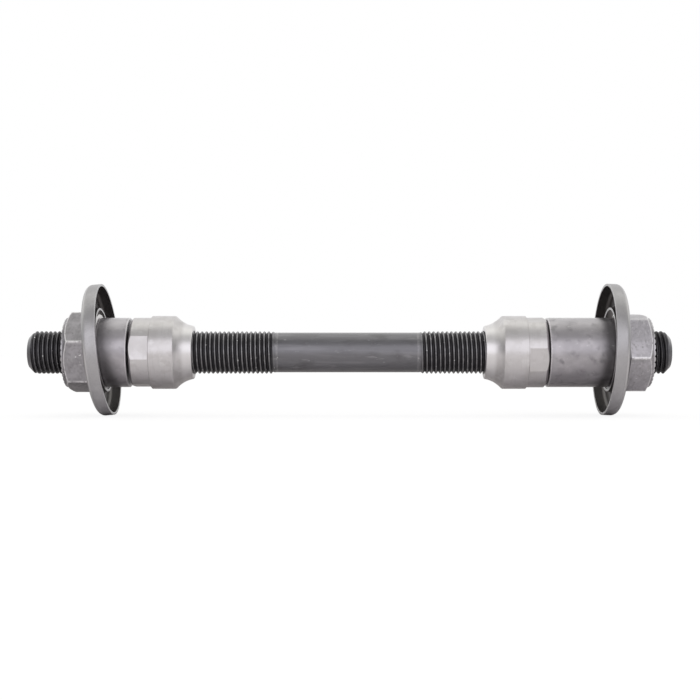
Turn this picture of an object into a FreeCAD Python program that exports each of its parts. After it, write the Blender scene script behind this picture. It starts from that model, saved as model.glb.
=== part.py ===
import FreeCAD, Part
import math
import os
import Sketcher

# Bicycle rear hub axle set, loosely assembled: a hollow threaded axle that carries, on each end and from
# the middle outwards, a bearing cone, a spacer sleeve, a washer, a dust cap and a lock nut.
# The axle lies along X with its middle at the origin, and +Z is up. Sizes are in millimetres and degrees.
# Each piece is drawn along its own x axis, which is the axle's axis, and is then placed on its side.

SIDES = ("left", "right")
FULL_TURN = 360
HALF_TURN = 180
HEX_CORNERS = 6
RIM_TOLERANCE = 1e-4

# The driving dimensions: alias, value, meaning
SIZES = [
    ("axle_length", 140.0, "axle, end to end"),
    ("thread_diameter", 9.5, "axle, outside of the thread"),
    ("shank_length", 32.7, "plain middle of the axle, with the ends of the two threads"),
    ("shank_shift", -0.45, "middle of the plain shank from the middle of the axle"),
    ("shank_step", 0.39, "plain shank's surface below the thread's crest"),
    ("thread_runout", 0.6, "length over which a thread fades into the shank"),
    ("axle_end_chamfer", 1.3, "45 degree chamfer on each axle end"),
    ("axle_end_land", 0.3, "least flat left between that chamfer and the bore"),
    ("skewer_bore", 5.3, "diameter of the bore along the axle"),
    ("bore_chamfer", 0.4, "chamfer at each end of that bore"),
    ("thread_clearance", 0.05, "radial clearance of a threaded piece on the axle"),
    ("left_stick_out", 8.1, "axle beyond the left lock nut"),
    ("right_stick_out", 4.45, "axle beyond the right lock nut"),
    ("nut_flats", 16.0, "lock nut, across flats"),
    ("nut_height", 5.65, "lock nut, along the axle"),
    ("nut_face_inset", 0.4, "edge of the nut's round outer face inside its flats"),
    ("nut_collar", 0.47, "how far that round face stands out of the chamfer"),
    ("nut_chamfer_angle", 33.0, "angle of the chamfer on the nut's outer side"),
    ("nut_bore_chamfer", 0.5, "chamfer at each end of the nut's thread"),
    ("left_nut_turn", 15.0, "how far the left nut is turned on the axle"),
    ("right_nut_turn", 7.8, "how far the right nut is turned on the axle"),
    ("washer_thickness", 1.6, "washer, along the axle"),
    ("washer_overhang", 0.4, "washer's radius beyond the spacer's"),
    ("washer_play", 0.1, "least radial play of the washer on the axle"),
    ("washer_edge", 0.2, "chamfer on the washer's edges"),
    ("face_play", 0.05, "end play on each side of a washer"),
    ("spacer_diameter", 15.2, "spacer sleeve, outside"),
    ("spacer_clearance", 0.3, "radial clearance of the spacer on the axle"),
    ("spacer_edge", 0.15, "chamfer on the spacer's outer edges"),
    ("left_spacer_length", 6.6, "short spacer, along the axle"),
    ("right_spacer_length", 15.1, "long spacer, along the axle"),
    ("left_end_play", 0.45, "gap between the left spacer and its cone"),
    ("right_end_play", 0.25, "gap between the right spacer and its cone"),
    ("cone_diameter", 16.0, "cone, outside"),
    ("cone_body_length", 5.1, "round outside of the cone, between its race and its slope"),
    ("nose_wall", 1.0, "cone's wall at its nose, where the race starts"),
    ("race_length", 3.9, "ball race, along the axle from the nose"),
    ("race_radius", 6.5, "hollow of the ball race"),
    ("race_edge", 0.6, "rounding between the race and the cone's outside"),
    ("nose_edge", 0.25, "rounding at the cone's nose"),
    ("wrench_length", 4.25, "reduced section at the cone's outer end"),
    ("wrench_step", 0.3, "reduced section's surface below the cone's outside"),
    ("wrench_ramp", 0.15, "length of the slope up to the cone's outside"),
    ("flat_margin", 0.1, "round left between the spanner flats and that slope"),
    ("flat_depth", 0.43, "four spanner flats below the reduced section"),
    ("cone_edge", 0.5, "chamfer at the cone's outer end"),
    ("left_cone_turn", 8.0, "how far the left cone is turned on the axle"),
    ("right_cone_turn", 12.6, "how far the right cone is turned on the axle"),
    ("cap_diameter", 28.8, "dust cap, outside"),
    ("cap_depth", 3.1, "dust cap, from its floor's outside to its rim"),
    ("cap_sheet", 0.5, "thickness of the dust cap's sheet"),
    ("cap_clearance", 0.7, "radial clearance of the cap's hole round the washer"),
    ("cap_bend", 0.8, "inside radius of the bend from floor to wall"),
    ("mouth_clearance", 1.46, "cap's floor starts this far outside the corners of the lock nut"),
    ("lip_bend", 0.3, "least inside radius of the bend from floor to lip"),
    ("lip_land", 0.2, "straight end of the lip round the cap's hole"),
    ("left_cap_rest_gap", 0.72, "room left under the left spacer as its cap hangs high"),
    ("right_cap_rest_gap", 0.54, "room left under the right spacer as its cap hangs high"),
    ("left_cap_gap", 0.24, "middle of the left cap's floor to its lock nut"),
    ("right_cap_gap", 0.97, "middle of the right cap's floor to its lock nut"),
    ("left_cap_lean", 5.6, "left cap leans out at the top"),
    ("right_cap_lean", 2.25, "right cap leans out at the top"),
]


def size(alias):
    """The expression that reads one cell of the sheet."""
    return f"sizes.{alias}"


# Measures that several pieces share
THREAD_R = f"{size('thread_diameter')} / 2"
TAPPED_R = f"({THREAD_R} + {size('thread_clearance')})"
SPACER_R = f"{size('spacer_diameter')} / 2"
WASHER_R = f"({SPACER_R} + {size('washer_overhang')})"
NUT_CORNER_R = f"{size('nut_flats')} / (2 * cos({HALF_TURN} / {HEX_CORNERS}))"
CONE_R = f"{size('cone_diameter')} / 2"
WRENCH_R = f"({CONE_R} - {size('wrench_step')})"
NOSE_R = f"({TAPPED_R} + {size('nose_wall')})"
RAMP_START = f"({size('race_length')} + {size('cone_body_length')})"
WRENCH_START = f"({RAMP_START} + {size('wrench_ramp')})"
CONE_LENGTH = f"({WRENCH_START} + {size('wrench_length')})"
CAP_HOLE_R = f"({WASHER_R} + {size('cap_clearance')})"
CAP_MOUTH_R = f"({NUT_CORNER_R} + {size('mouth_clearance')})"
LIP_BEND = f"max({CAP_MOUTH_R} - {CAP_HOLE_R} - {size('cap_sheet')}; {size('lip_bend')})"


def fill_sheet(doc):
    """Write the driving dimensions into the document's sheet."""
    sheet = doc.addObject("Spreadsheet::Sheet", "sizes")
    for row, (alias, value, meaning) in enumerate(SIZES, start=1):
        sheet.set(f"A{row}", meaning)
        sheet.set(f"B{row}", str(value))
        sheet.setAlias(f"B{row}", alias)
    doc.recompute()
    return sheet


def number(sheet, expression):
    """What an expression comes to with the sheet as it is."""
    value = sheet.evalExpression(expression)
    return float(getattr(value, "Value", value))


def origin_plane(body, role):
    """One of the body's own base planes."""
    return next(plane for plane in body.Origin.OriginFeatures if plane.Role == role)


def new_sketch(body, name, role):
    """A sketch on one of the body's base planes."""
    sketch = body.newObject("Sketcher::SketchObject", name)
    sketch.AttachmentSupport = [(origin_plane(body, role), "")]
    sketch.MapMode = "FlatFace"
    return sketch


def bind(sketch, constraint, name, expression):
    """Add a constraint that takes its value from the sheet."""
    index = sketch.addConstraint(constraint)
    sketch.renameConstraint(index, name)
    sketch.setExpression(f"Constraints.{name}", expression)


def closed_loop(sketch, points):
    """Straight lines from point to point and back to the first one; returns the first line's index."""
    first = len(sketch.Geometry)
    count = len(points)
    for start, end in zip(points, points[1:] + points[:1]):
        sketch.addGeometry(Part.LineSegment(start, end))
    for step in range(count):
        following = first + (step + 1) % count
        sketch.addConstraint(Sketcher.Constraint("Coincident", first + step, 2, following, 1))
    return first


def hold_point(sketch, line, name, along, up):
    """Tie a line's start to its distances along the axle and from the axle's axis."""
    point = sketch.Geometry[line].StartPoint
    ties = (("DistanceX", "along", along, point.x, -2), ("DistanceY", "up", up, point.y, -1))
    for kind, word, expression, value, axis in ties:
        if expression == "0":
            sketch.addConstraint(Sketcher.Constraint("PointOnObject", line, 1, axis))
        else:
            bind(sketch, Sketcher.Constraint(kind, -1, 1, line, 1, value), f"{name}_{word}", expression)


def outline(sheet, sketch, corners):
    """A closed outline through named corners, each (name, along, up), in half a lengthwise section."""
    points = [FreeCAD.Vector(number(sheet, along), number(sheet, up), 0) for _, along, up in corners]
    closed_loop(sketch, points)
    for line, (name, along, up) in enumerate(corners):
        hold_point(sketch, line, name, along, up)


def turn_profile(body, sketch):
    """Turn a half section about the axle's axis into a solid."""
    turned = body.newObject("PartDesign::Revolution", f"{sketch.Name}_turned")
    turned.Profile = sketch
    turned.ReferenceAxis = (sketch, ["H_Axis"])
    turned.Angle = FULL_TURN
    sketch.Document.recompute()


def turned_body(doc, sheet, name, corners):
    """A turned piece from the corners of its half section."""
    body = doc.addObject("PartDesign::Body", name)
    sketch = new_sketch(body, f"{name}_section", "XZ_Plane")
    outline(sheet, sketch, corners)
    turn_profile(body, sketch)
    return body


def rim_edges(shape, along, radius):
    """Names of the circular edges of one radius in one plane across the axle."""
    found = []
    for index, edge in enumerate(shape.Edges, start=1):
        curve = edge.Curve
        if not isinstance(curve, Part.Circle):
            continue
        off_radius = abs(curve.Radius - radius)
        off_plane = abs(curve.Center.x - along)
        if max(off_radius, off_plane) < RIM_TOLERANCE:
            found.append(f"Edge{index}")
    if not found:
        raise RuntimeError(f"no rim of radius {radius} at {along}")
    return found


def dress_rims(sheet, body, kind, name, measure, rims):
    """Round or chamfer the rims of a body, each given as (along, radius), by one size of the sheet."""
    base = body.Tip
    edges = []
    for along, radius in rims:
        edges += rim_edges(base.Shape, number(sheet, along), number(sheet, radius))
    dressed = body.newObject(f"PartDesign::{kind}", name)
    dressed.Base = (base, edges)
    dressed.setExpression("Radius" if kind == "Fillet" else "Size", measure)
    body.Document.recompute()


def check_removed(feature, before):
    """A cut that points away from its solid would leave the volume as it was."""
    if not feature.Shape.Volume < before:
        raise RuntimeError(f"{feature.Name} removed nothing")


def pocket(body, sketch, name, depth):
    """Cut a sketch's area out of the body, down its own x axis, to a depth or right through."""
    before = body.Tip.Shape.Volume
    cut = body.newObject("PartDesign::Pocket", name)
    cut.Profile = sketch
    if depth is None:
        cut.Type = "ThroughAll"
        cut.Midplane = True
    else:
        cut.setExpression("Length", depth)
    body.Document.recompute()
    check_removed(cut, before)


def make_axle(doc, sheet):
    """The hollow axle: threaded ends drawn smooth at the thread's crest, and a plain middle."""
    length = size("axle_length")
    runout = size("thread_runout")
    shank_r = f"{THREAD_R} - {size('shank_step')}"
    bore_r = f"{size('skewer_bore')} / 2"
    mouth_r = f"{bore_r} + {size('bore_chamfer')}"
    end_wall = f"{THREAD_R} - ({mouth_r})"
    chamfer = f"min({size('axle_end_chamfer')}; {end_wall} - {size('axle_end_land')})"
    shank_middle = f"{length} / 2 + {size('shank_shift')}"
    left_thread = f"{shank_middle} - {size('shank_length')} / 2"
    right_thread = f"{shank_middle} + {size('shank_length')} / 2"
    corners = [
        ("left_mouth", "0", mouth_r),
        ("left_end", "0", f"{THREAD_R} - {chamfer}"),
        ("left_crest", chamfer, THREAD_R),
        ("left_thread_end", left_thread, THREAD_R),
        ("left_shank", f"{left_thread} + {runout}", shank_r),
        ("right_shank", f"{right_thread} - {runout}", shank_r),
        ("right_thread_end", right_thread, THREAD_R),
        ("right_crest", f"{length} - {chamfer}", THREAD_R),
        ("right_end", length, f"{THREAD_R} - {chamfer}"),
        ("right_mouth", length, mouth_r),
        ("right_bore", f"{length} - {size('bore_chamfer')}", bore_r),
        ("left_bore", size("bore_chamfer"), bore_r),
    ]
    axle = turned_body(doc, sheet, "axle", corners)
    axle.setExpression("Placement.Base.x", f"-{length} / 2")
    return axle


def make_ring(doc, sheet, name, length, outer_r, bore_r, edge):
    """A plain ring or sleeve with its outer edges broken."""
    corners = [
        ("inner_bore", "0", bore_r),
        ("inner_face", "0", f"{outer_r} - {edge}"),
        ("inner_edge", edge, outer_r),
        ("outer_edge", f"{length} - {edge}", outer_r),
        ("outer_face", length, f"{outer_r} - {edge}"),
        ("outer_bore", length, bore_r),
    ]
    return turned_body(doc, sheet, name, corners)


def make_spacer(doc, sheet, side):
    """A plain sleeve between the cone and the washer."""
    length = size(f"{side}_spacer_length")
    bore_r = f"{THREAD_R} + {size('spacer_clearance')}"
    return make_ring(doc, sheet, f"{side}_spacer", length, SPACER_R, bore_r, size("spacer_edge"))


def make_washer(doc, sheet, side):
    """A flat washer, wide enough in the bore to hang off centre by its overhang."""
    bore_r = f"{THREAD_R} + {size('washer_overhang')} + {size('washer_play')}"
    thickness = size("washer_thickness")
    return make_ring(doc, sheet, f"{side}_washer", thickness, WASHER_R, bore_r, size("washer_edge"))


def cone_section(sheet, sketch):
    """Half section of a cone from its nose outwards, with the hollow race as an arc."""
    edge = size("cone_edge")
    corners = [
        ("race_top", size("race_length"), CONE_R),
        ("ramp_top", RAMP_START, CONE_R),
        ("ramp_foot", WRENCH_START, WRENCH_R),
        ("outer_edge", f"{CONE_LENGTH} - {edge}", WRENCH_R),
        ("outer_face", CONE_LENGTH, f"{WRENCH_R} - {edge}"),
        ("outer_bore", CONE_LENGTH, TAPPED_R),
        ("nose_bore", "0", TAPPED_R),
        ("nose", "0", NOSE_R),
    ]
    outline(sheet, sketch, corners)
    race_line = len(corners) - 1
    nose_point = sketch.Geometry[race_line].StartPoint
    top_point = sketch.Geometry[race_line].EndPoint
    sketch.toggleConstruction(race_line)
    radius = number(sheet, size("race_radius"))
    chord = top_point - nose_point
    across = FreeCAD.Vector(-chord.y, chord.x, 0).normalize()
    centre = (nose_point + top_point) / 2 + across * math.sqrt(radius**2 - (chord.Length / 2) ** 2)
    start_angle = math.atan2(nose_point.y - centre.y, nose_point.x - centre.x)
    end_angle = math.atan2(top_point.y - centre.y, top_point.x - centre.x)
    circle = Part.Circle(centre, FreeCAD.Vector(0, 0, 1), radius)
    race = sketch.addGeometry(Part.ArcOfCircle(circle, start_angle, end_angle))
    sketch.addConstraint(Sketcher.Constraint("Coincident", race, 1, race_line, 1))
    sketch.addConstraint(Sketcher.Constraint("Coincident", race, 2, race_line, 2))
    bind(sketch, Sketcher.Constraint("Radius", race, radius), "race_hollow", size("race_radius"))


def cut_flats(sheet, body, side):
    """Mill four spanner flats into the cone's outer end: what lies outside a square goes."""
    squares = (("flats", f"{WRENCH_R} - {size('flat_depth')}"), ("clear", f"2 * {CONE_R}"))
    sketch = new_sketch(body, f"{side}_cone_flats_plan", "YZ_Plane")
    sketch.setExpression("AttachmentOffset.Base.z", CONE_LENGTH)
    sketch.setExpression("AttachmentOffset.Rotation.Angle", size(f"{side}_cone_turn"))
    for name, half_width in squares:
        half = number(sheet, half_width)
        corners = [(-half, -half), (half, -half), (half, half), (-half, half)]
        foot = closed_loop(sketch, [FreeCAD.Vector(across, up, 0) for across, up in corners])
        for line, kind in enumerate(("Horizontal", "Vertical", "Horizontal", "Vertical"), start=foot):
            sketch.addConstraint(Sketcher.Constraint(kind, line))
        near = (foot, 1)
        far = (foot + 2, 1)
        origin = (-1, 1)
        for kind in ("DistanceX", "DistanceY"):
            bind(sketch, Sketcher.Constraint(kind, *near, *origin, half), f"{name}_near_{kind}", half_width)
            bind(sketch, Sketcher.Constraint(kind, *origin, *far, half), f"{name}_far_{kind}", half_width)
    body.Document.recompute()
    flat_length = f"{size('wrench_length')} - {size('flat_margin')}"
    pocket(body, sketch, f"{side}_cone_flats", flat_length)


def make_cone(doc, sheet, side):
    """A bearing cone: hollow race at the nose, reduced end with four spanner flats, threaded bore."""
    body = doc.addObject("PartDesign::Body", f"{side}_cone")
    section = new_sketch(body, f"{side}_cone_section", "XZ_Plane")
    cone_section(sheet, section)
    turn_profile(body, section)
    shoulder = (size("race_length"), CONE_R)
    dress_rims(sheet, body, "Fillet", f"{side}_race_edge", size("race_edge"), [shoulder])
    dress_rims(sheet, body, "Fillet", f"{side}_nose_edge", size("nose_edge"), [("0", NOSE_R)])
    cut_flats(sheet, body, side)
    return body


def hexagon(sheet, sketch):
    """A regular hexagon with one corner on the sketch's own x axis."""
    corner_r = number(sheet, NUT_CORNER_R)
    points = []
    for step in range(HEX_CORNERS):
        angle = 2 * math.pi * step / HEX_CORNERS
        points.append(FreeCAD.Vector(corner_r * math.cos(angle), corner_r * math.sin(angle), 0))
    closed_loop(sketch, points)
    circle = Part.Circle(FreeCAD.Vector(0, 0, 0), FreeCAD.Vector(0, 0, 1), corner_r)
    guide = sketch.addGeometry(circle, True)
    sketch.addConstraint(Sketcher.Constraint("Coincident", guide, 3, -1, 1))
    for line in range(HEX_CORNERS):
        sketch.addConstraint(Sketcher.Constraint("PointOnObject", line, 1, guide))
    for line in range(1, HEX_CORNERS):
        sketch.addConstraint(Sketcher.Constraint("Equal", 0, line))
    sketch.addConstraint(Sketcher.Constraint("PointOnObject", 0, 1, -1))
    bind(sketch, Sketcher.Constraint("Radius", guide, corner_r), "corner_radius", NUT_CORNER_R)


def chamfer_hexagon(sheet, body, side):
    """Turn off the hexagon's corners, and leave a round collar at the nut's outer face."""
    height = size("nut_height")
    collar = size("nut_collar")
    face_r = f"{size('nut_flats')} / 2 - {size('nut_face_inset')}"
    clear_r = size("nut_flats")
    slope = f"({clear_r} - ({face_r})) * tan({size('nut_chamfer_angle')})"
    sketch = new_sketch(body, f"{side}_nut_chamfer_section", "XZ_Plane")
    corners = [
        ("face", height, face_r),
        ("clear", height, clear_r),
        ("foot", f"{height} - {collar} - {slope}", clear_r),
        ("root", f"{height} - {collar}", face_r),
    ]
    outline(sheet, sketch, corners)
    before = body.Tip.Shape.Volume
    cut = body.newObject("PartDesign::Groove", f"{side}_nut_chamfer")
    cut.Profile = sketch
    cut.ReferenceAxis = (sketch, ["H_Axis"])
    cut.Angle = FULL_TURN
    body.Document.recompute()
    check_removed(cut, before)


def bore_nut(sheet, body, side):
    """Bore the nut at the thread's crest and chamfer both mouths."""
    sketch = new_sketch(body, f"{side}_nut_bore_plan", "YZ_Plane")
    tapped_r = number(sheet, TAPPED_R)
    sketch.addGeometry(Part.Circle(FreeCAD.Vector(0, 0, 0), FreeCAD.Vector(0, 0, 1), tapped_r))
    sketch.addConstraint(Sketcher.Constraint("Coincident", 0, 3, -1, 1))
    bind(sketch, Sketcher.Constraint("Radius", 0, tapped_r), "bore_radius", TAPPED_R)
    body.Document.recompute()
    pocket(body, sketch, f"{side}_nut_bore", None)
    mouths = [("0", TAPPED_R), (size("nut_height"), TAPPED_R)]
    dress_rims(sheet, body, "Chamfer", f"{side}_nut_mouths", size("nut_bore_chamfer"), mouths)


def make_nut(doc, sheet, side):
    """A hexagonal lock nut with a chamfer, a round collar at its outer face and a threaded bore."""
    body = doc.addObject("PartDesign::Body", f"{side}_lock_nut")
    plan = new_sketch(body, f"{side}_nut_plan", "YZ_Plane")
    plan.setExpression("AttachmentOffset.Rotation.Angle", size(f"{side}_nut_turn"))
    hexagon(sheet, plan)
    block = body.newObject("PartDesign::Pad", f"{side}_nut_block")
    block.Profile = plan
    block.setExpression("Length", size("nut_height"))
    doc.recompute()
    chamfer_hexagon(sheet, body, side)
    bore_nut(sheet, body, side)
    return body


def make_cap(doc, sheet, side):
    """A dust cap pressed from sheet: floor, outer wall, and a funnel-shaped lip turned in round the hole.

    The floor's outside is at x = 0, and the open rim faces the axle's middle.
    """
    depth = size("cap_depth")
    sheet_metal = size("cap_sheet")
    lip = f"{LIP_BEND} + {sheet_metal} + {size('lip_land')}"
    wall_r = f"{size('cap_diameter')} / 2"
    inner_wall_r = f"{wall_r} - {sheet_metal}"
    lip_r = f"{CAP_HOLE_R} + {sheet_metal}"
    corners = [
        ("hole_floor", "0", CAP_HOLE_R),
        ("wall_floor", "0", wall_r),
        ("rim_out", depth, wall_r),
        ("rim_in", depth, inner_wall_r),
        ("wall_foot", sheet_metal, inner_wall_r),
        ("lip_foot", sheet_metal, lip_r),
        ("lip_out", lip, lip_r),
        ("lip_in", lip, CAP_HOLE_R),
    ]
    body = turned_body(doc, sheet, f"{side}_dust_cap", corners)
    bends = (
        ("cap_bend", size("cap_bend"), wall_r, inner_wall_r),
        ("lip_bend", LIP_BEND, CAP_HOLE_R, lip_r),
    )
    for name, inside, outer_r, inner_r in bends:
        outside = f"{inside} + {sheet_metal}"
        dress_rims(sheet, body, "Fillet", f"{side}_{name}_outside", outside, [("0", outer_r)])
        dress_rims(sheet, body, "Fillet", f"{side}_{name}_inside", inside, [(sheet_metal, inner_r)])
    return body


def stack(side):
    """Distances from the axle's middle to each piece's near face, worked out from the axle's end."""
    nut = f"{size('axle_length')} / 2 - {size(side + '_stick_out')} - {size('nut_height')}"
    washer = f"{nut} - {size('face_play')} - {size('washer_thickness')}"
    spacer = f"{washer} - {size('face_play')} - {size(side + '_spacer_length')}"
    cone = f"{spacer} - {size(side + '_end_play')} - {CONE_LENGTH}"
    cap = f"{nut} - {size(side + '_cap_gap')}"
    return {"nut": nut, "washer": washer, "spacer": spacer, "cone": cone, "cap": cap}


def place(body, side, distance, lift="0"):
    """Put a piece that is drawn from its inner face outwards on one side of the axle."""
    if side == "left":
        body.Placement.Rotation = FreeCAD.Rotation(FreeCAD.Vector(0, 0, 1), HALF_TURN)
        distance = f"-({distance})"
    body.setExpression("Placement.Base.x", distance)
    body.setExpression("Placement.Base.z", lift)


def place_cap(body, side, distance):
    """Hang a cap on its side, drawn from its floor inwards, lifted and leaning out at the top.

    On the right, a half turn about an axis that leans half as far both faces the cap inwards and leans it.
    """
    lean = size(f"{side}_cap_lean")
    lift = f"{CAP_HOLE_R} - {SPACER_R} - {size(side + '_cap_rest_gap')}"
    if side == "left":
        body.Placement.Rotation = FreeCAD.Rotation(FreeCAD.Vector(0, 1, 0), 0)
        body.setExpression("Placement.Rotation.Angle", f"-({lean})")
        distance = f"-({distance})"
    else:
        body.Placement.Rotation = FreeCAD.Rotation(FreeCAD.Vector(0, 0, 1), HALF_TURN)
        body.setExpression("Placement.Rotation.Axis.x", f"sin({lean} / 2)")
        body.setExpression("Placement.Rotation.Axis.z", f"cos({lean} / 2)")
    body.setExpression("Placement.Base.x", distance)
    body.setExpression("Placement.Base.z", lift)


def check(doc, pieces):
    """Stop if any object failed, or a piece isn't one valid solid."""
    for item in doc.Objects:
        if "Invalid" in item.State or "Error" in item.State:
            raise RuntimeError(f"{item.Label} failed: {item.State}")
    for piece in pieces:
        shape = piece.Shape
        if shape.isNull() or not shape.isValid() or len(shape.Solids) != 1:
            raise RuntimeError(f"{piece.Label} isn't one valid solid")


def main():
    doc = FreeCAD.newDocument("hub_axle")
    sheet = fill_sheet(doc)
    pieces = [make_axle(doc, sheet)]
    for side in SIDES:
        distances = stack(side)
        cone = make_cone(doc, sheet, side)
        spacer = make_spacer(doc, sheet, side)
        washer = make_washer(doc, sheet, side)
        nut = make_nut(doc, sheet, side)
        cap = make_cap(doc, sheet, side)
        place(cone, side, distances["cone"])
        place(spacer, side, distances["spacer"])
        place(washer, side, distances["washer"], size("washer_overhang"))
        place(nut, side, distances["nut"])
        place_cap(cap, side, distances["cap"])
        pieces += [cone, spacer, washer, nut, cap]
    doc.recompute()
    check(doc, pieces)
    os.makedirs("parts", exist_ok=True)
    for piece in pieces:
        piece.Shape.exportStep(os.path.join("parts", f"{piece.Label}.step"))
        box = piece.Shape.BoundBox
        print(
            f"{piece.Label}: x {box.XMin:.2f} to {box.XMax:.2f}, y {box.YMin:.2f} to {box.YMax:.2f}, "
            f"z {box.ZMin:.2f} to {box.ZMax:.2f}, volume {piece.Shape.Volume:.1f}"
        )


main()
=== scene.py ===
import math

import bmesh
import bpy
import numpy as np
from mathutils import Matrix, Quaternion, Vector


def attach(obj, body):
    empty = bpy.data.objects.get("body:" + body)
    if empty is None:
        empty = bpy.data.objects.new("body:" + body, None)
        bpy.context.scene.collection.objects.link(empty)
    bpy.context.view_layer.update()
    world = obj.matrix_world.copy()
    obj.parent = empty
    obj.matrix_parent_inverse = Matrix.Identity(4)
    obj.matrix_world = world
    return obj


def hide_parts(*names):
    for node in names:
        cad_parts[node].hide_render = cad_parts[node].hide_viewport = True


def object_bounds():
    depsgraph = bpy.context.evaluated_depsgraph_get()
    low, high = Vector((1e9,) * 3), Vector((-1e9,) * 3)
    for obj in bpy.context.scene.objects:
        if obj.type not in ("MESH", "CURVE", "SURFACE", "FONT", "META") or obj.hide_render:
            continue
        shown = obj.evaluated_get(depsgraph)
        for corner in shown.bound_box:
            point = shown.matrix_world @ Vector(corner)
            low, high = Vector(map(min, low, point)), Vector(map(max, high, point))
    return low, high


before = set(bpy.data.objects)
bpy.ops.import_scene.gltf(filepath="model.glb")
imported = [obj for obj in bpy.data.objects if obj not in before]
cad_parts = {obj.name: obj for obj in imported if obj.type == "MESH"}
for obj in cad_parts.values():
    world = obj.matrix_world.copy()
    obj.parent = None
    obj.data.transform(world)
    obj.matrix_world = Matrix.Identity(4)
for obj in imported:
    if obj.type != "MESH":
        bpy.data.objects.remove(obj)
cad_low, cad_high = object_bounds()

# Lengths are in millimetres and angles in degrees, and MM turns a length into Blender's metres
MM = 0.001
INCH = 25.4
FULL_TURN = 2 * math.pi
TOLERANCE = 0.01
OUTLINE_DIGITS = 2
WELD = 0.002
SHARP_ANGLE = 32
SIDES = {"left": -1, "right": 1}

# Camera: level with the axle, square to it
IMAGE_SIDE = 153.65
CAMERA_DISTANCE = 290
CAMERA_SIDE = 0.09
CAMERA_HEIGHT = 0.53
SENSOR = 36
NEAREST = 10
FARTHEST = 10000

# Light: what bare metal sees, by the angle up from the horizon in front of the part and on over it
STUDIO = [
    (-180, (0.70, 0.70, 0.70)),
    (-90, (0.40, 0.40, 0.40)),
    (-4, (0.66, 0.65, 0.67)),
    (10, (0.66, 0.65, 0.68)),
    (36, (0.64, 0.63, 0.65)),
    (52, (0.52, 0.515, 0.515)),
    (74, (0.52, 0.515, 0.505)),
    (88, (0.80, 0.795, 0.77)),
    (98, (1.0, 0.995, 0.955)),
    (115, (0.96, 0.955, 0.925)),
    (132, (0.84, 0.835, 0.82)),
    (180, (0.95, 0.95, 0.95)),
]
# What it sees towards the axle's two ends, from directions that run more than SIDE_START along the axle
STUDIO_SIDE = (0.34, 0.34, 0.34)
SIDE_START = 0.79
BACKDROP = (1, 1, 1)
RAMP_MIDDLE = 0.5
# One wide lamp in front of the part and over it; its glow is the brightness that a mirror would show
SOFTBOX_SIZE = (2000, 490)
SOFTBOX_PLACE = (0, -610, 235)
SOFTBOX_ROLL = 3
SOFTBOX_GLOW = 0.44
SOFTBOX_TINT = (1.0, 0.985, 1.01)

# Floor: nearly white to the camera; to the part pale in front, with a painted shadow from below it to the
# back
FLOOR_SIDE = 4000
FLOOR_GLOW = 0.86
FLOOR_SHADE = (0.2, 0.2, 0.2)
FLOOR_TONE = (0.95, 0.925, 0.93)
# The tone of the floor's painted shadow below the part, and where it starts and is full
FLOOR_SHADOW_TONE = (0.5, 0.48, 0.48)
FLOOR_TONE_START = -11.5
FLOOR_TONE_END = 4

# Thread of the axle; CREST_PHASE is where one crest crosses the axle's top, which lies TOP_TURN round it
THREADS_PER_INCH = 26
PITCH = INCH / THREADS_PER_INCH
THREAD_DEPTH = 0.46
CREST_SETBACK = 0.08
CREST_PHASE = -17.71
TOP_TURN = 0.25
SPARE_TURNS = 2
RUNOUT = 0.9
AXLE_COLUMNS = 80
# The shank is lighter over a short length next to each thread
COLLAR_LENGTH = 0.5
COLLAR_FADE = 0.25
COLLAR_LIGHTENING = 0.9
# Beyond this distance from the axle's middle the crests keep only a share of their rub
RUB_REACH = 52
END_RUB = {"left": 0.45, "right": 0.15}
# The thread starts this far in from the axle's ends, and comes to its full depth over the next length
TIP_PLAIN = 0.7
TIP_RUNOUT = 0.5
# One turn of the thread's section: share of the pitch from the crest's middle, share of the depth, crest mask
THREAD_SECTION = [
    (-0.22, 0.40, 0.05),
    (-0.1, 0.07, 0.6),
    (-0.04, 0.0, 1.0),
    (0.04, 0.0, 1.0),
    (0.1, 0.07, 0.6),
    (0.22, 0.40, 0.05),
    (0.42, 1.0, 0.0),
    (0.58, 1.0, 0.0),
]

# Lock nut; TOOTH_GAP is a notch's share of the spacing of the teeth
HEX_CORNERS = 6
NUT_TEETH = 36
COLUMNS_PER_TOOTH = 12
TOOTH_DEPTH = 0.32
TOOTH_GAP = 0.5
TOOTH_PHASE = 1.3
TOOTH_LENGTH = 1.3
FACE_DISH = 0.4
FLAT_CROWN = 0.12
CORNER_BLUNTING = 0.15
EDGE_BREAK = 0.12
# How far the plating is worn off, from 0 to 1, and how wide a worn edge is
WEAR_WIDTH = 0.24
RIM_WEAR = 0.3
CHAMFER_WEAR = 0.2
CHAMFER_EDGE_WEAR = 0.9
BACK_EDGE_WEAR = 0.5
BACK_WEAR = 0.3

# Masks: samples, and the values between which each mask goes from 0 to 1
SHADE_SAMPLES = 8
BEVEL_SAMPLES = 6
HOLLOW_SPAN = (0.9, 0.6)
CREVICE_SPAN = (0.62, 0.35)
INWARD_SPAN = (-0.2, -0.6)
EDGE_SPAN = (0.995, 0.93)
BEND_RISE = (0.4, 0.55)
BEND_FALL = (0.85, 0.7)
# Distances from the axis at which the lighter band near the cones' noses starts and is full: partly the
# polish that the balls give the races, partly a painted highlight
POLISH_AND_HIGHLIGHT_SPAN = (6.75, 6.2)

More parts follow.
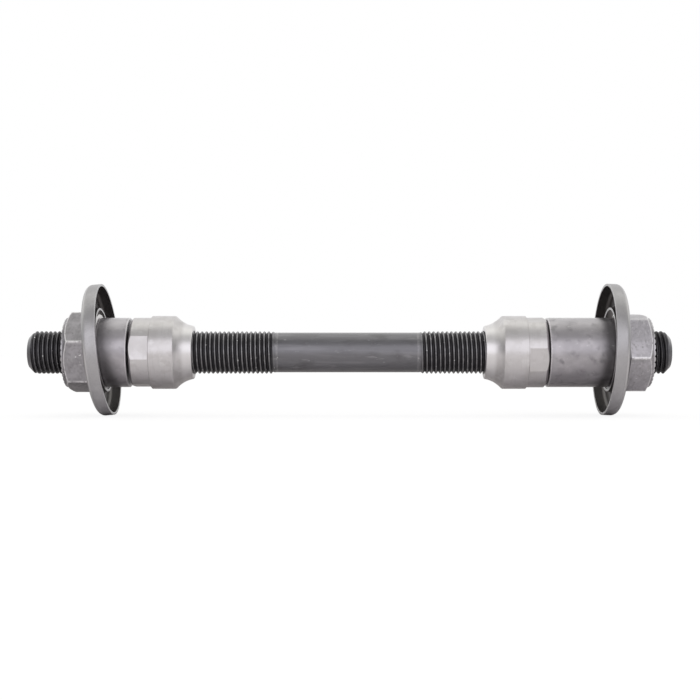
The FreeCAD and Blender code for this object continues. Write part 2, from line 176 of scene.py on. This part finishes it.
# Colours of the finishes by layer
BLACK_STEEL = {
    "base": (0.178, 0.176, 0.19),
    "streaks": (0.23, 0.227, 0.243),
    "blotches": (0.135, 0.133, 0.142),
    "smudges": (0.255, 0.252, 0.265),
    "scratches": (0.36, 0.355, 0.37),
    # The groove colour is partly dark oil and partly painted shade in the thread's recesses.
    "groove": (0.055, 0.053, 0.058),
    "crest": (0.3, 0.295, 0.305),
    # The specks colour is partly worn bare metal and partly painted glints on the crests.
    "worn_glint_specks": (0.95, 0.95, 0.95),
}
GROUND_STEEL = {
    "base": (0.71, 0.692, 0.698),
    "stains": (0.62, 0.602, 0.6),
    "blots": (0.645, 0.627, 0.627),
    "rubs": (0.76, 0.745, 0.75),
    "rings": (0.63, 0.612, 0.615),
    # The polish colour is partly the races' polish and partly a painted highlight.
    "polish_and_highlight": (0.83, 0.815, 0.82),
    # The crevice colour is painted shade where another piece closes in.
    "crevice_shade": (0.5, 0.488, 0.488),
}
WASHER_STEEL = {
    "base": (0.74, 0.73, 0.73),
    "clouds": (0.62, 0.61, 0.61),
}
CAP_STEEL = {
    "base": (0.46, 0.454, 0.464),
    "clouds": (0.53, 0.524, 0.534),
    "grain": (0.4, 0.394, 0.404),
    # The bend colour is a painted highlight where the wall turns into the floor.
    "bend": (0.62, 0.615, 0.62),
    # The inside colour is painted shade in the dish.
    "inside": (0.17, 0.163, 0.162),
    # The edges colour is a painted highlight along the rim and lip.
    "edges": (0.66, 0.655, 0.66),
}
# The spacers and nuts differ in tone from left to right, and most of their layers are shares of that tone
SLEEVE_TONES = {"left": 0.44, "right": 0.405}
SLEEVE_SHARES = {
    "base": (1, 0.955, 1.01),
    "clouds": (1.25, 1.2, 1.26),
    "stains": (0.72, 0.69, 0.73),
}
SLEEVE_SCUFFS = (0.6, 0.59, 0.6)
# The colour of the painted highlight along the spacers' edges
SLEEVE_EDGE_HIGHLIGHT = (0.95, 0.93, 0.95)
# The spacers' plating, and the roughness of the oil on it as a share of the plating's
SLEEVE_ROUGHNESS = {"left": 0.37, "right": 0.33}
OIL_SHARE = 0.75
NUT_TONES = {"left": 0.342, "right": 0.455}
NUT_SHARES = {
    "base": (1, 0.97, 1.02),
    "clouds": (1.25, 1.21, 1.28),
    "mottle": (0.75, 0.73, 0.75),
    "brushing": (1.35, 1.32, 1.36),
}
NUT_SCRATCHES = (0.62, 0.61, 0.62)
NUT_MARKS = (0.85, 0.84, 0.85)
NUT_WORN = (0.95, 0.94, 0.95)

# Blender's Mix node has sockets for each kind of value: share, first, second and result
MIX_SOCKETS = {"FLOAT": (0, 2, 3, 0), "RGBA": (0, 6, 7, 2)}
# Operations on vectors that give a number
NUMBER_OPERATIONS = ("LENGTH", "DOT_PRODUCT")


class Nodes:
    """A node tree, and the ways in which this script adds to it."""

    def __init__(self, tree):
        self.tree = tree

    def add(self, kind, **settings):
        """A new node, with some settings of its own."""
        node = self.tree.nodes.new(kind)
        for name, value in settings.items():
            setattr(node, name, value)
        return node

    def feed(self, value, socket):
        """Link a socket, or set a plain value."""
        if isinstance(value, bpy.types.NodeSocket):
            self.tree.links.new(value, socket)
        else:
            socket.default_value = value

    def coordinates(self, kind):
        """Where the surface lies, or for a world which way a ray goes."""
        return self.add("ShaderNodeTexCoord").outputs[kind]

    def split(self, vector):
        """A vector's X, Y and Z."""
        node = self.add("ShaderNodeSeparateXYZ")
        self.feed(vector, node.inputs[0])
        return node.outputs

    def camera_ray(self):
        """1 for what the camera sees directly."""
        return self.add("ShaderNodeLightPath").outputs["Is Camera Ray"]

    def maths(self, operation, first, second=0.0):
        """One operation on one or two numbers."""
        node = self.add("ShaderNodeMath", operation=operation)
        self.feed(first, node.inputs[0])
        self.feed(second, node.inputs[1])
        return node.outputs["Value"]

    def vector_maths(self, operation, *values):
        """One operation on vectors, which gives a vector or a number."""
        node = self.add("ShaderNodeVectorMath", operation=operation)
        for value, socket in zip(values, node.inputs):
            self.feed(value, socket)
        return node.outputs["Value" if operation in NUMBER_OPERATIONS else "Vector"]

    def span(self, value, low, high, curve="SMOOTHSTEP"):
        """0 below low, 1 above high, and a rise between; the other way round where low is above high."""
        node = self.add("ShaderNodeMapRange", interpolation_type=curve)
        self.feed(value, node.inputs["Value"])
        rising = low < high
        node.inputs["From Min"].default_value = min(low, high)
        node.inputs["From Max"].default_value = max(low, high)
        node.inputs["To Min"].default_value = 0 if rising else 1
        node.inputs["To Max"].default_value = 1 if rising else 0
        return node.outputs["Result"]

    def mix(self, kind, share, first, second):
        """The first value where the share is 0, the second where it is 1."""
        share_in, first_in, second_in, result = MIX_SOCKETS[kind]
        node = self.add("ShaderNodeMix", data_type=kind)
        self.feed(share, node.inputs[share_in])
        self.feed(first, node.inputs[first_in])
        self.feed(second, node.inputs[second_in])
        return node.outputs[result]


class Finish(Nodes):
    """A procedural metal, built up in layers: colour, roughness and bump each start plain and gain masks."""

    def __init__(self, name, colour, roughness):
        self.material = bpy.data.materials.new(name)
        self.material.use_nodes = True
        super().__init__(self.material.node_tree)
        self.shader = self.tree.nodes["Principled BSDF"]
        self.shader.inputs["Metallic"].default_value = 1
        self.colour = (*colour, 1)
        self.roughness = roughness
        self.normal = None
        self.place = self.vector_maths("MULTIPLY", self.coordinates("Object"), (1 / MM, 1 / MM, 1 / MM))

    def noise(self, scale, stretch=(1, 1, 1), detail=2.0, shift=0.0):
        """Clouds about 1 / scale millimetres across, drawn out along an axis by a stretch below 1."""
        spread = self.vector_maths("MULTIPLY_ADD", self.place, stretch, (shift, shift, shift))
        node = self.add("ShaderNodeTexNoise")
        self.feed(spread, node.inputs["Vector"])
        node.inputs["Scale"].default_value = scale
        node.inputs["Detail"].default_value = detail
        return node.outputs["Fac"]

    def patches(self, start, full, **pattern):
        """A mask of clouds: 0 where the noise of that pattern is below start, 1 where it is above full."""
        return self.span(self.noise(**pattern), start, full)

    def attribute(self, name):
        """A mask that the mesh itself carries."""
        return self.add("ShaderNodeAttribute", attribute_name=name).outputs["Fac"]

    def facing(self):
        """Which way the surface looks."""
        return self.add("ShaderNodeNewGeometry").outputs["Normal"]

    def across(self):
        """The surface's place as seen along the axle: how far it lies from the axis, and which way."""
        return self.vector_maths("MULTIPLY", self.place, (0, 1, 1))

    def from_axis(self):
        """The surface's distance from the axle's axis, in millimetres."""
        return self.vector_maths("LENGTH", self.across())

    def facing_axis(self):
        """1 on surfaces that look towards the axle's axis, such as the inside of a ring."""
        outward = self.vector_maths("NORMALIZE", self.across())
        return self.span(self.vector_maths("DOT_PRODUCT", outward, self.facing()), *INWARD_SPAN)

    def bend(self):
        """1 on surfaces that look about half way between along the axle and away from it."""
        along = self.maths("ABSOLUTE", self.split(self.facing())["X"])
        return self.maths("MULTIPLY", self.span(along, *BEND_RISE), self.span(along, *BEND_FALL))

    def open_share(self, reach, own_walls):
        """How much of the light gets past all pieces within that reach, or past the piece's own walls."""
        node = self.add("ShaderNodeAmbientOcclusion", samples=SHADE_SAMPLES, only_local=own_walls)
        node.inputs["Distance"].default_value = reach * MM
        return node.outputs["AO"]

    def hollow(self, reach):
        """1 where the piece's own walls shut out much of the light from within that reach."""
        return self.span(self.open_share(reach, own_walls=True), *HOLLOW_SPAN)

    def crevice_shade(self, reach):
        """1 where any piece within that reach shuts out most of the light, as in a gap between two."""
        return self.span(self.open_share(reach, own_walls=False), *CREVICE_SPAN)

    def bevelled(self, width):
        """Which way the surface would look if its edges were broken to that width."""
        node = self.add("ShaderNodeBevel", samples=BEVEL_SAMPLES)
        node.inputs["Radius"].default_value = width * MM
        return node.outputs["Normal"]

    def edges(self, width):
        """1 along the part's edges, to about that width on each side."""
        agree = self.vector_maths("DOT_PRODUCT", self.bevelled(width), self.facing())
        return self.span(agree, *EDGE_SPAN)

    def round_edges(self, width):
        """Shade the edges as if they were broken to a small radius."""
        self.normal = self.bevelled(width)

    def tint(self, mask, colour):
        """Lay another colour over the present one where the mask is 1."""
        self.colour = self.mix("RGBA", mask, self.colour, (*colour, 1))

    def roughen(self, mask, roughness):
        """Move to another roughness where the mask is 1."""
        self.roughness = self.mix("FLOAT", mask, self.roughness, roughness)

    def emboss(self, height, depth):
        """Raise the surface by a height map, to that many millimetres."""
        bump = self.add("ShaderNodeBump")
        bump.inputs["Distance"].default_value = depth * MM
        self.feed(height, bump.inputs["Height"])
        if self.normal is not None:
            self.feed(self.normal, bump.inputs["Normal"])
        self.normal = bump.outputs["Normal"]

    def oil(self, weight, roughness):
        """Lay a thin clear film over the metal."""
        self.feed(weight, self.shader.inputs["Coat Weight"])
        self.shader.inputs["Coat Roughness"].default_value = roughness

    def done(self):
        """The finished material."""
        self.feed(self.colour, self.shader.inputs["Base Color"])
        self.feed(self.roughness, self.shader.inputs["Roughness"])
        if self.normal is not None:
            self.feed(self.normal, self.shader.inputs["Normal"])
        return self.material


def shares_of(tone, shares):
    """The colours of some layers, each given as shares of one tone."""
    return {layer: tuple(share * tone for share in colour) for layer, colour in shares.items()}


def black_steel():
    """Oiled black oxide: a satin shank, and a thread whose grooves are painted near black, partly for dark
    oil and partly as painted shade, and whose rubbed crests carry painted glints.
    """
    colours = BLACK_STEEL
    finish = Finish("black_steel", colours["base"], roughness=0.38)
    streaks = finish.patches(0.45, 0.72, scale=1.0, stretch=(0.07, 1, 1), detail=4.0)
    finish.tint(streaks, colours["streaks"])
    blotches = finish.patches(0.48, 0.75, scale=0.35, stretch=(0.5, 1, 1), detail=4.0, shift=7.0)
    finish.tint(blotches, colours["blotches"])
    smudges = finish.patches(0.6, 0.72, scale=0.8, stretch=(0.3, 1, 1), detail=3.0, shift=43.0)
    finish.tint(smudges, colours["smudges"])
    scratches = finish.patches(0.72, 0.77, scale=2.2, stretch=(0.25, 1, 1), shift=31.0)
    finish.tint(scratches, colours["scratches"])
    # The grooves are tinted near black: partly dark oil, partly painted shade.
    groove = finish.attribute("groove")
    finish.tint(groove, colours["groove"])
    finish.roughen(groove, roughness=0.5)
    rubbed = finish.patches(0.25, 0.65, scale=0.9, detail=3.0, shift=13.0)
    crest = finish.attribute("crest")
    worn = finish.maths("MULTIPLY", crest, rubbed)
    finish.tint(worn, colours["crest"])
    finish.roughen(worn, roughness=0.3)
    # Near-white specks on the crests and next to the thread: partly worn bare metal, partly painted glints.
    worn_glint_specks = finish.patches(0.7, 0.76, scale=2.0, detail=1.0, shift=23.0)
    finish.tint(finish.maths("MULTIPLY", finish.span(crest, 0.08, 0.14), worn_glint_specks), colours["worn_glint_specks"])
    finish.emboss(finish.noise(scale=4.0, stretch=(0.2, 1, 1), detail=3.0, shift=3.0), depth=0.005)
    finish.oil(finish.span(groove, 1.3, 0), roughness=0.25)
    return finish.done()


def ground_steel():
    """Bright turned and ground steel: fine rings, blotchy stains, a race lighter near its nose, partly
    polished by its balls and partly a painted highlight, and painted shade in the gaps by other pieces.
    """
    colours = GROUND_STEEL
    finish = Finish("ground_steel", colours["base"], roughness=0.29)
    stains = finish.noise(scale=0.2, detail=5.0)
    finish.tint(finish.span(stains, 0.45, 0.7), colours["stains"])
    finish.tint(finish.patches(0.48, 0.66, scale=0.6, detail=4.0, shift=33.0), colours["blots"])
    rubs = finish.patches(0.58, 0.7, scale=0.5, stretch=(0.6, 1, 1), detail=4.0, shift=53.0)
    finish.tint(rubs, colours["rubs"])
    rings = finish.noise(scale=5.0, stretch=(1, 0.05, 0.05), detail=3.0, shift=5.0)
    finish.tint(finish.span(rings, 0.5, 0.9), colours["rings"])
    finish.roughen(finish.span(stains, 0.45, 0.75), roughness=0.36)
    # Lighter near the nose: partly the polish from the balls, partly a painted highlight.
    finish.tint(finish.span(finish.from_axis(), *POLISH_AND_HIGHLIGHT_SPAN), colours["polish_and_highlight"])
    # Painted shade where another piece closes in, as in the gap to the spacer.
    finish.tint(finish.crevice_shade(reach=0.9), colours["crevice_shade"])
    finish.emboss(rings, depth=0.006)
    finish.emboss(finish.noise(scale=2.5, detail=3.0, shift=17.0), depth=0.01)
    return finish.done()


def sleeve_steel(side):
    """Dull grey plating on an oiled tube: cloudy, with small scuffs and a painted highlight along its edges.
    """
    colours = shares_of(SLEEVE_TONES[side], SLEEVE_SHARES)
    roughness = SLEEVE_ROUGHNESS[side]
    finish = Finish(f"{side}_sleeve_steel", colours["base"], roughness)
    clouds = finish.noise(scale=0.35, stretch=(0.7, 1, 1), detail=5.0, shift=2.0)
    finish.tint(finish.span(clouds, 0.42, 0.68), colours["clouds"])
    finish.tint(finish.patches(0.52, 0.74, scale=0.5, detail=5.0, shift=11.0), colours["stains"])
    scuffs = finish.patches(0.68, 0.74, scale=1.7, stretch=(0.6, 1, 1), detail=3.0, shift=29.0)
    finish.tint(scuffs, SLEEVE_SCUFFS)
    finish.roughen(finish.span(clouds, 0.4, 0.8), roughness=0.38)
    finish.round_edges(width=0.12)
    # A painted highlight along the edges.
    finish.tint(finish.edges(width=0.32), SLEEVE_EDGE_HIGHLIGHT)
    finish.emboss(finish.noise(scale=2.5, detail=3.0, shift=19.0), depth=0.012)
    finish.oil(weight=1.0, roughness=OIL_SHARE * roughness)
    return finish.done()


def washer_steel():
    """Bright plating, slightly clouded."""
    colours = WASHER_STEEL
    finish = Finish("washer_steel", colours["base"], roughness=0.3)
    finish.tint(finish.patches(0.5, 0.8, scale=0.9, detail=3.0), colours["clouds"])
    finish.round_edges(width=0.1)
    finish.emboss(finish.noise(scale=5.0, shift=9.0), depth=0.006)
    return finish.done()


def cap_steel():
    """Grey plated sheet with a fine grain, painted shade inside, and a painted highlight along its bends and
    edges.
    """
    colours = CAP_STEEL
    finish = Finish("cap_steel", colours["base"], roughness=0.36)
    finish.tint(finish.patches(0.45, 0.75, scale=0.3, detail=4.0, shift=4.0), colours["clouds"])
    grain = finish.noise(scale=4.5, detail=3.0, shift=8.0)
    finish.tint(finish.span(grain, 0.5, 0.75), colours["grain"])
    # A painted highlight along the bend between wall and floor.
    finish.tint(finish.bend(), colours["bend"])
    # Painted shade inside the dish: where its own walls shut out light, and on surfaces that face the axis.
    finish.tint(finish.hollow(reach=6), colours["inside"])
    finish.tint(finish.facing_axis(), colours["inside"])
    finish.round_edges(width=0.14)
    # A painted highlight along the edges.
    finish.tint(finish.edges(width=0.18), colours["edges"])
    finish.emboss(grain, depth=0.012)
    return finish.done()


def nut_steel(side):
    """Grey plating on a forged nut, clouded and scratched, and worn bright at its corners."""
    colours = shares_of(NUT_TONES[side], NUT_SHARES)
    finish = Finish(f"{side}_nut_steel", colours["base"], roughness=0.34)
    finish.tint(finish.patches(0.42, 0.68, scale=0.35, detail=4.0, shift=6.0), colours["clouds"])
    mottle = finish.noise(scale=1.6, detail=5.0, shift=14.0)
    finish.tint(finish.span(mottle, 0.45, 0.8), colours["mottle"])
    brushing = finish.patches(0.52, 0.8, scale=3.2, stretch=(1, 0.3, 0.3), detail=3.0, shift=71.0)
    finish.tint(brushing, colours["brushing"])
    scratches = finish.patches(0.66, 0.72, scale=1.6, stretch=(0.3, 1, 0.6), detail=3.0, shift=37.0)
    finish.tint(scratches, NUT_SCRATCHES)
    finish.tint(finish.patches(0.72, 0.76, scale=0.9, shift=61.0), NUT_MARKS)
    broken = finish.patches(0.26, 0.5, scale=1.4, detail=3.0, shift=21.0)
    worn = finish.maths("MULTIPLY", finish.attribute("wear"), broken)
    finish.tint(worn, NUT_WORN)
    finish.roughen(worn, roughness=0.28)
    finish.round_edges(width=0.08)
    finish.emboss(mottle, depth=0.015)
    return finish.done()


def mesh_object(name, builder, material):
    """Turn a finished bmesh into a smooth object with one material."""
    mesh = bpy.data.meshes.new(name)
    bmesh.ops.remove_doubles(builder, verts=builder.verts, dist=WELD * MM)
    bmesh.ops.recalc_face_normals(builder, faces=builder.faces)
    builder.to_mesh(mesh)
    builder.free()
    mesh.shade_smooth()
    mesh.set_sharp_from_angle(angle=math.radians(SHARP_ANGLE))
    mesh.materials.append(material)
    piece = bpy.data.objects.new(name, mesh)
    bpy.context.scene.collection.objects.link(piece)
    return piece


def polar(along, radius, angle):
    """A point from its distance along the axle, its distance from the axis and its angle round it."""
    return (along * MM, radius * math.cos(angle) * MM, radius * math.sin(angle) * MM)


def node_points(node):
    """A node's points in millimetres, as (along, radius, angle) arrays."""
    points = np.array([vertex.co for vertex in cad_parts[node].data.vertices]) / MM
    radius = np.hypot(points[:, 1], points[:, 2])
    angle = np.arctan2(points[:, 2], points[:, 1])
    return points[:, 0], radius, angle


def axle_outline():
    """The axle's outer corners from left to right, and its bore's: each a list of (along, radius)."""
    places, radii, _ = node_points("axle")
    corners = sorted({
        (round(along, OUTLINE_DIGITS), round(radius, OUTLINE_DIGITS))
        for along, radius in zip(places.tolist(), radii.tolist())
    })
    left_end = corners[0][0]
    mouth = min(radius for along, radius in corners if along == left_end)
    outer = [corner for corner in corners if corner[1] > mouth]
    bore = [corner for corner in corners if corner[1] <= mouth]
    return outer, bore


def add_rings(builder, crest_layer, rings):
    """Join rings of (along, radius, crest mask), all on the axle's own columns, with quads."""
    rows = []
    for along, radius, mask in rings:
        row = []
        for column in range(AXLE_COLUMNS):
            vertex = builder.verts.new(polar(along, radius, FULL_TURN * column / AXLE_COLUMNS))
            vertex[crest_layer] = mask
            row.append(vertex)
        rows.append(row)
    for first, second in zip(rows, rows[1:]):
        for column in range(AXLE_COLUMNS):
            after = (column + 1) % AXLE_COLUMNS
            builder.faces.new((first[column], second[column], second[after], first[after]))


def add_thread(builder, crest_layer, groove_layer, tip, shank_end, end_rub, outer):
    """A right-hand thread from one end of the axle to the shank, faded out towards both.

    The grid is sheared by one pitch a turn, so its lines follow the crests and roots. What would pass an end
    is held on it, and welded there later.
    """
    start, end = sorted((tip, shank_end))
    outline_places = [along for along, _ in outer]
    outline_radii = [radius for _, radius in outer]
    crest_radius = max(outline_radii) - CREST_SETBACK
    shank_radius = float(np.interp(shank_end, outline_places, outline_radii))
    turns = range(
        math.floor((start - CREST_PHASE) / PITCH) - SPARE_TURNS,
        math.ceil((end - CREST_PHASE) / PITCH) + SPARE_TURNS,
    )
    stations = [
        (CREST_PHASE + (turn + share) * PITCH, depth, mask)
        for turn in turns
        for share, depth, mask in THREAD_SECTION
    ]
    columns = []
    for column in range(AXLE_COLUMNS):
        turn_share = column / AXLE_COLUMNS
        line = []
        for station, depth, mask in stations:
            along = min(max(station + (turn_share - TOP_TURN) * PITCH, start), end)
            from_plain = max(abs(along - tip) - TIP_PLAIN, 0)
            fade = min(abs(along - shank_end) / RUNOUT, from_plain / TIP_RUNOUT, 1)
            cut_radius = crest_radius - depth * THREAD_DEPTH
            outer_radius = float(np.interp(along, outline_places, outline_radii))
            radius = min(shank_radius + (cut_radius - shank_radius) * fade, outer_radius)
            vertex = builder.verts.new(polar(along, radius, FULL_TURN * turn_share))
            rub = mask * fade * (end_rub if abs(along) > RUB_REACH else 1)
            vertex[crest_layer] = rub
            vertex[groove_layer] = fade - rub
            line.append(vertex)
        columns.append(line)
    per_turn = len(THREAD_SECTION)
    for column, line in enumerate(columns):
        last = column == AXLE_COLUMNS - 1
        after = columns[0][per_turn:] if last else columns[column + 1]
        for index in range(len(stations) - per_turn - 1):
            builder.faces.new((line[index], line[index + 1], after[index + 1], after[index]))


def make_axle(material):
    """The axle with its thread cut, in place of the smooth one."""
    outer, bore = axle_outline()
    left_end, right_end = outer[0], outer[-1]
    crest_radius = max(radius for _, radius in outer)
    left_thread_end = max(along for along, radius in outer if radius == crest_radius and along < 0)
    right_thread_end = min(along for along, radius in outer if radius == crest_radius and along > 0)
    left_shank, right_shank = [corner for corner in outer if left_thread_end < corner[0] < right_thread_end]
    builder = bmesh.new()
    crest_layer = builder.verts.layers.float.new("crest")
    groove_layer = builder.verts.layers.float.new("groove")
    threads = (("left", left_end[0], left_shank[0]), ("right", right_end[0], right_shank[0]))
    for side, tip, shank_end in threads:
        add_thread(builder, crest_layer, groove_layer, tip, shank_end, END_RUB[side], outer)
    shank = [
        (*left_shank, COLLAR_LIGHTENING),
        (left_shank[0] + COLLAR_LENGTH, left_shank[1], COLLAR_LIGHTENING),
        (left_shank[0] + COLLAR_LENGTH + COLLAR_FADE, left_shank[1], 0),
        (right_shank[0] - COLLAR_LENGTH - COLLAR_FADE, right_shank[1], 0),
        (right_shank[0] - COLLAR_LENGTH, right_shank[1], COLLAR_LIGHTENING),
        (*right_shank, COLLAR_LIGHTENING),
    ]
    add_rings(builder, crest_layer, shank)
    left_bore = sorted(corner for corner in bore if corner[0] < 0)
    right_bore = sorted(corner for corner in bore if corner[0] > 0)
    inside = [left_end, *left_bore, *right_bore, right_end]
    add_rings(builder, crest_layer, [(along, radius, 0) for along, radius in inside])
    piece = mesh_object("threaded_axle", builder, material)
    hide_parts("axle")
    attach(piece, "axle")


def nut_rows(sizes, angle):
    """One lengthwise section of a lock nut, from its bore over its outer face and back.

    Each row is its distance along the axle, its radius and how far it is worn.
    """
    corner_share = FULL_TURN / HEX_CORNERS
    off_corner = (angle - sizes["corner_angle"]) % corner_share
    off_middle = corner_share / 2 - off_corner
    middle_share = math.tan(off_middle) / math.tan(corner_share / 2)
    corner_radius = sizes["corner_radius"]
    flat_radius = corner_radius * math.cos(corner_share / 2) - FLAT_CROWN * middle_share**2
    side_radius = min(flat_radius / math.cos(off_middle), corner_radius - CORNER_BLUNTING)
    to_corner = min(off_corner, corner_share - off_corner) * side_radius
    corner_wear = math.exp(-((to_corner / WEAR_WIDTH) ** 2))
    tooth_turn = ((angle - math.radians(TOOTH_PHASE)) * NUT_TEETH / FULL_TURN) % 1
    # A notch is 1 deep half way from tooth to tooth, and 0 from its two sides on
    notch = max(1 - abs(tooth_turn - 0.5) * 2 / TOOTH_GAP, 0)
    cut = notch * TOOTH_DEPTH
    face, root, back, slope = sizes["face"], sizes["root"], sizes["back"], sizes["slope"]
    face_radius = sizes["face_radius"]
    mouth_radius = sizes["mouth_radius"]
    bore_radius = sizes["bore_radius"]
    mouth_depth = mouth_radius - bore_radius
    dish = face - FACE_DISH
    rim_radius = face_radius - TOOTH_LENGTH
    chamfer_radius = max(side_radius - WEAR_WIDTH, (face_radius + side_radius) / 2)
    edge = root - (side_radius - face_radius) * slope
    return [
        (dish - mouth_depth, bore_radius, 0),
        (dish, mouth_radius, 0),
        (dish, rim_radius - EDGE_BREAK, 0),
        (face - cut, rim_radius, 0),
        (face - cut, face_radius - EDGE_BREAK, RIM_WEAR),
        (face - max(cut, EDGE_BREAK), face_radius, RIM_WEAR),
        (root, face_radius, 0),
        (root - (chamfer_radius - face_radius) * slope, chamfer_radius, CHAMFER_WEAR),
        (edge, side_radius, CHAMFER_EDGE_WEAR),
        (edge - WEAR_WIDTH, side_radius, corner_wear),
        (back + 2 * EDGE_BREAK, side_radius, corner_wear),
        (back + EDGE_BREAK, side_radius, BACK_EDGE_WEAR),
        (back, side_radius - EDGE_BREAK, BACK_WEAR),
        (back, mouth_radius, 0),
        (back + mouth_depth, bore_radius, 0),
    ]


def nut_sizes(node, outward):
    """A lock nut's measures, read off its node, with distances counted outwards from the axle's middle."""
    along, radius, angle = node_points(node)
    along = along * outward
    face, back = float(along.max()), float(along.min())
    on_face = radius[along > face - TOLERANCE]
    face_radius, corner_radius = float(on_face.max()), float(radius.max())
    root = float(along[abs(radius - face_radius) < TOLERANCE].min())
    corner_end = float(along[radius > corner_radius - TOLERANCE].max())
    return {
        "face": face,
        "root": root,
        "back": back,
        "face_radius": face_radius,
        "mouth_radius": float(on_face.min()),
        "bore_radius": float(radius.min()),
        "corner_radius": corner_radius,
        "corner_angle": float(angle[radius.argmax()]),
        "slope": (root - corner_end) / (corner_radius - face_radius),
    }


def make_nut(side, material):
    """A lock nut with its outer face cut into teeth, in place of the plain one."""
    node = f"{side}_lock_nut"
    outward = SIDES[side]
    sizes = nut_sizes(node, outward)
    columns = NUT_TEETH * COLUMNS_PER_TOOTH
    builder = bmesh.new()
    wear_layer = builder.verts.layers.float.new("wear")
    sections = []
    for column in range(columns):
        angle = sizes["corner_angle"] + FULL_TURN * column / columns
        section = []
        for along, radius, wear in nut_rows(sizes, angle):
            vertex = builder.verts.new(polar(along * outward, radius, angle))
            vertex[wear_layer] = wear
            section.append(vertex)
        sections.append(section)
    for first, second in zip(sections, sections[1:] + sections[:1]):
        for row in range(len(first)):
            after = (row + 1) % len(first)
            builder.faces.new((first[row], first[after], second[after], second[row]))
    piece = mesh_object(f"{side}_toothed_nut", builder, material)
    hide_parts(node)
    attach(piece, node)


def paint(node, material):
    """Give a node that keeps its own shape a better finish."""
    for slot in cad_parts[node].material_slots:
        slot.material = material


def make_camera():
    """A camera whose picture is IMAGE_SIDE wide at the axle."""
    data = bpy.data.cameras.new("camera")
    data.sensor_width = SENSOR
    data.lens = SENSOR * CAMERA_DISTANCE / IMAGE_SIDE
    data.clip_start = NEAREST * MM
    data.clip_end = FARTHEST * MM
    camera = bpy.data.objects.new("camera", data)
    camera.location = (CAMERA_SIDE * MM, -CAMERA_DISTANCE * MM, CAMERA_HEIGHT * MM)
    camera.rotation_euler = (math.radians(90), 0, 0)
    bpy.context.scene.collection.objects.link(camera)
    bpy.context.scene.camera = camera


def fill_ramp(ramp, stops):
    """Set a colour ramp's stops, each (place from 0 to 1, colour)."""
    while len(ramp.elements) < len(stops):
        ramp.elements.new(RAMP_MIDDLE)
    for element, (place, colour) in zip(ramp.elements, stops):
        element.position = place
        element.color = (*colour, 1)


def make_world():
    """White to the camera; to the part, bands of light by height, darker towards the axle's two ends."""
    world = bpy.data.worlds.new("world")
    bpy.context.scene.world = world
    world.use_nodes = True
    nodes = Nodes(world.node_tree)
    direction = nodes.split(nodes.coordinates("Generated"))
    towards_viewer = nodes.maths("MULTIPLY", direction["Y"], -1)
    height = nodes.maths("ARCTAN2", direction["Z"], towards_viewer)
    bands = nodes.add("ShaderNodeValToRGB")
    fill_ramp(bands.color_ramp, [((angle + 180) / 360, colour) for angle, colour in STUDIO])
    nodes.feed(nodes.span(height, -math.pi, math.pi, "LINEAR"), bands.inputs["Fac"])
    sideways = nodes.span(nodes.maths("ABSOLUTE", direction["X"]), SIDE_START, 1)
    studio = nodes.mix("RGBA", sideways, bands.outputs["Color"], (*STUDIO_SIDE, 1))
    seen = nodes.mix("RGBA", nodes.camera_ray(), studio, (*BACKDROP, 1))
    nodes.feed(seen, nodes.tree.nodes["Background"].inputs["Color"])


def make_lamp(name, size, place, roll, glow, tint):
    """A soft rectangle of light that faces the part, rolled to one side."""
    data = bpy.data.lights.new(name, "AREA")
    data.shape = "RECTANGLE"
    data.size = size[0] * MM
    data.size_y = size[1] * MM
    data.energy = glow * math.pi * data.size * data.size_y
    data.color = tint
    lamp = bpy.data.objects.new(name, data)
    lamp.location = [part * MM for part in place]
    aim = (-lamp.location).to_track_quat("-Z", "Y")
    lamp.rotation_euler = (aim @ Quaternion((0, 0, 1), math.radians(roll))).to_euler()
    bpy.context.scene.collection.objects.link(lamp)


def floor_material():
    """A pale floor with a painted shadow below the part; the camera sees it almost white, with the part's
    cast shadow.
    """
    material = bpy.data.materials.new("floor")
    material.use_nodes = True
    nodes = Nodes(material.node_tree)
    nodes.tree.nodes.remove(nodes.tree.nodes["Principled BSDF"])
    seen = nodes.camera_ray()
    place = nodes.split(nodes.coordinates("Object"))
    # A painted shadow: the floor's tone darkens from in front of the part to below and behind it.
    below = nodes.span(place["Y"], FLOOR_TONE_START * MM, FLOOR_TONE_END * MM)
    shown = nodes.mix("RGBA", below, (*FLOOR_TONE, 1), (*FLOOR_SHADOW_TONE, 1))
    shade = nodes.add("ShaderNodeBsdfDiffuse")
    nodes.feed(nodes.mix("RGBA", seen, shown, (*FLOOR_SHADE, 1)), shade.inputs["Color"])
    glow = nodes.add("ShaderNodeEmission")
    nodes.feed(nodes.maths("MULTIPLY", seen, FLOOR_GLOW), glow.inputs["Strength"])
    both = nodes.add("ShaderNodeAddShader")
    nodes.feed(shade.outputs["BSDF"], both.inputs[0])
    nodes.feed(glow.outputs["Emission"], both.inputs[1])
    nodes.feed(both.outputs["Shader"], nodes.tree.nodes["Material Output"].inputs["Surface"])
    return material


def make_floor():
    """A wide floor under the part's lowest point."""
    half = FLOOR_SIDE * MM / 2
    level = cad_low.z
    mesh = bpy.data.meshes.new("floor")
    corners = [(-half, -half, level), (half, -half, level), (half, half, level), (-half, half, level)]
    mesh.from_pydata(corners, [], [(0, 1, 2, 3)])
    mesh.materials.append(floor_material())
    floor = bpy.data.objects.new("floor", mesh)
    bpy.context.scene.collection.objects.link(floor)


make_axle(black_steel())
cone_finish = ground_steel()
washer_finish = washer_steel()
cap_finish = cap_steel()
for side in SIDES:
    make_nut(side, nut_steel(side))
    paint(f"{side}_cone", cone_finish)
    paint(f"{side}_spacer", sleeve_steel(side))
    paint(f"{side}_washer", washer_finish)
    paint(f"{side}_dust_cap", cap_finish)
make_floor()
make_lamp("softbox", SOFTBOX_SIZE, SOFTBOX_PLACE, SOFTBOX_ROLL, SOFTBOX_GLOW, SOFTBOX_TINT)
make_world()
make_camera()
bpy.context.scene.view_settings.view_transform = "Standard"
